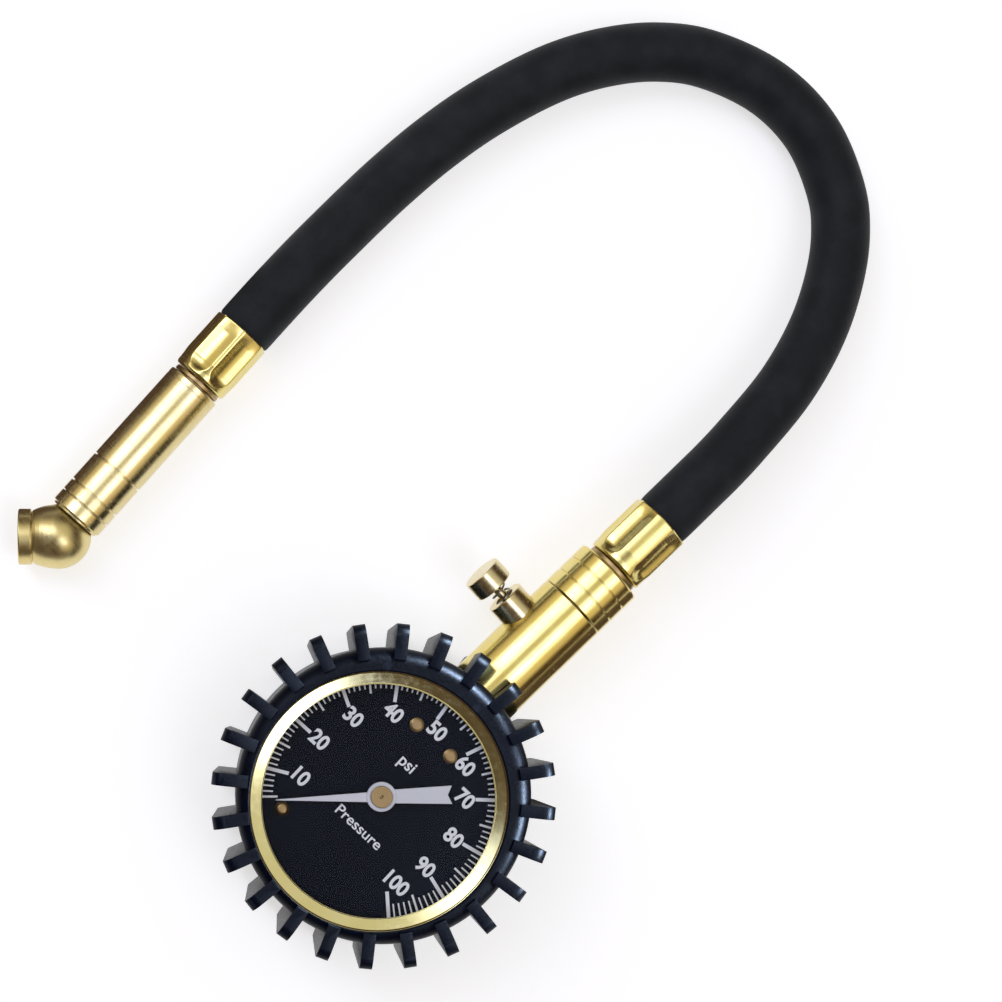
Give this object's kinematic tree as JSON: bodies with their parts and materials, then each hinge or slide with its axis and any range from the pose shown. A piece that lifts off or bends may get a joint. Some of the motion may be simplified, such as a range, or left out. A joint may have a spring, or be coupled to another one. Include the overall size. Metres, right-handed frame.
{
  "type": "tire pressure gauge",
  "caption": "Dial tire pressure gauge in a finned rubber boot, with a brass stem, bleeder valve, short swivelling rubber hose and an angled ball air chuck.",
  "frame": {"origin": "centre of the rubber boot's flat back", "axes": "+Z out of the dial, +Y along the brass stem away from the dial, +X to the right of the dial; the gauge lies on its back on Z = 0"},
  "size_m": [0.1239, 0.1923, 0.0278],
  "materials": {
    "boot_rubber": "satin",
    "black_paint": "satin",
    "polished_brass": "polished",
    "clear_lens": "gloss",
    "dial_paint": "satin",
    "satin_brass": "satin",
    "pale_brass": "satin",
    "movement_brass": "satin",
    "phosphor_bronze": "satin",
    "white_paint": "satin",
    "spring_steel": "satin",
    "hose_rubber": "matte",
    "seal_rubber": "matte"
  },
  "bodies": {
    "gauge": {"rubber_boot": "boot_rubber", "gauge_case": "black_paint", "bezel_ring": "polished_brass", "lens": "clear_lens", "dial_plate": "dial_paint", "dial_screw_left": "satin_brass", "dial_screw_right": "satin_brass", "pointer_stop_pin": "satin_brass", "tube_socket": "movement_brass", "bourdon_tube": "phosphor_bronze", "tube_tip": "movement_brass", "movement_base_plate": "movement_brass", "movement_top_plate": "movement_brass", "movement_pillar_left": "movement_brass", "movement_pillar_right": "movement_brass", "movement_pillar_rear": "movement_brass", "hairspring": "phosphor_bronze", "stem_body": "polished_brass", "bleed_bushing": "pale_brass", "bleed_spring": "spring_steel"},
    "pointer": {"pinion": "movement_brass", "pointer_needle": "white_paint", "pointer_cap": "satin_brass"},
    "sector": {"sector_gear": "movement_brass"},
    "link": {"connecting_link": "spring_steel"},
    "bleed_button": {"bleed_button": "pale_brass", "bleed_seal": "seal_rubber"},
    "hose_assembly": {"swivel_collar": "polished_brass", "gauge_hose_fitting": "satin_brass", "swivel_o_ring": "seal_rubber", "gauge_ferrule": "polished_brass", "hose": "hose_rubber", "chuck_ferrule": "polished_brass", "chuck_hose_fitting": "satin_brass", "chuck_sleeve": "polished_brass", "check_valve_spring": "spring_steel"},
    "check_valve": {"check_valve_poppet": "movement_brass"},
    "chuck": {"chuck_swivel_ring": "polished_brass", "chuck_head": "satin_brass", "chuck_o_ring": "seal_rubber", "chuck_seal": "seal_rubber", "depressor_pin": "satin_brass"}
  },
  "joints": [
    {"name": "pointer_spin", "type": "hinge", "parent": "gauge", "child": "pointer", "pos_m": [0, 0.0009, 0.0225], "axis": [0, 0, -1], "range_deg": [0, 267]},
    {"name": "sector_swing", "type": "hinge", "parent": "gauge", "child": "sector", "pos_m": [0, -0.0119, 0.0168], "axis": [0, 0, 1], "range_deg": [0, 38.2]},
    {"name": "link_swing", "type": "hinge", "parent": "sector", "child": "link", "pos_m": [0.00118, -0.0085, 0.01785], "axis": [0, 0, 1], "range_deg": [-38.2, 0]},
    {"name": "bleed_press", "type": "slide", "parent": "gauge", "child": "bleed_button", "axis": [0.9903, 0, -0.1392], "range_m": [0, 0.0012], "stiffness_N_per_m": 400},
    {"name": "hose_swivel", "type": "hinge", "parent": "gauge", "child": "hose_assembly", "pos_m": [0, 0.0582, 0.0135], "axis": [0, 1, 0], "continuous": true},
    {"name": "chuck_swivel", "type": "hinge", "parent": "hose_assembly", "child": "chuck", "pos_m": [-0.0786, -0.0093, 0.0063], "axis": [-0.0837, 0.9965, 0], "continuous": true},
    {"name": "check_valve_lift", "type": "slide", "parent": "hose_assembly", "child": "check_valve", "axis": [-0.0837, 0.9965, 0], "range_m": [0, 0.0015], "stiffness_N_per_m": 150}
  ],
  "couplings": [
    {"joint": "sector_swing", "follows": "pointer_spin", "ratio": 0.14286},
    {"joint": "link_swing", "follows": "pointer_spin", "ratio": -0.14286}
  ]
}
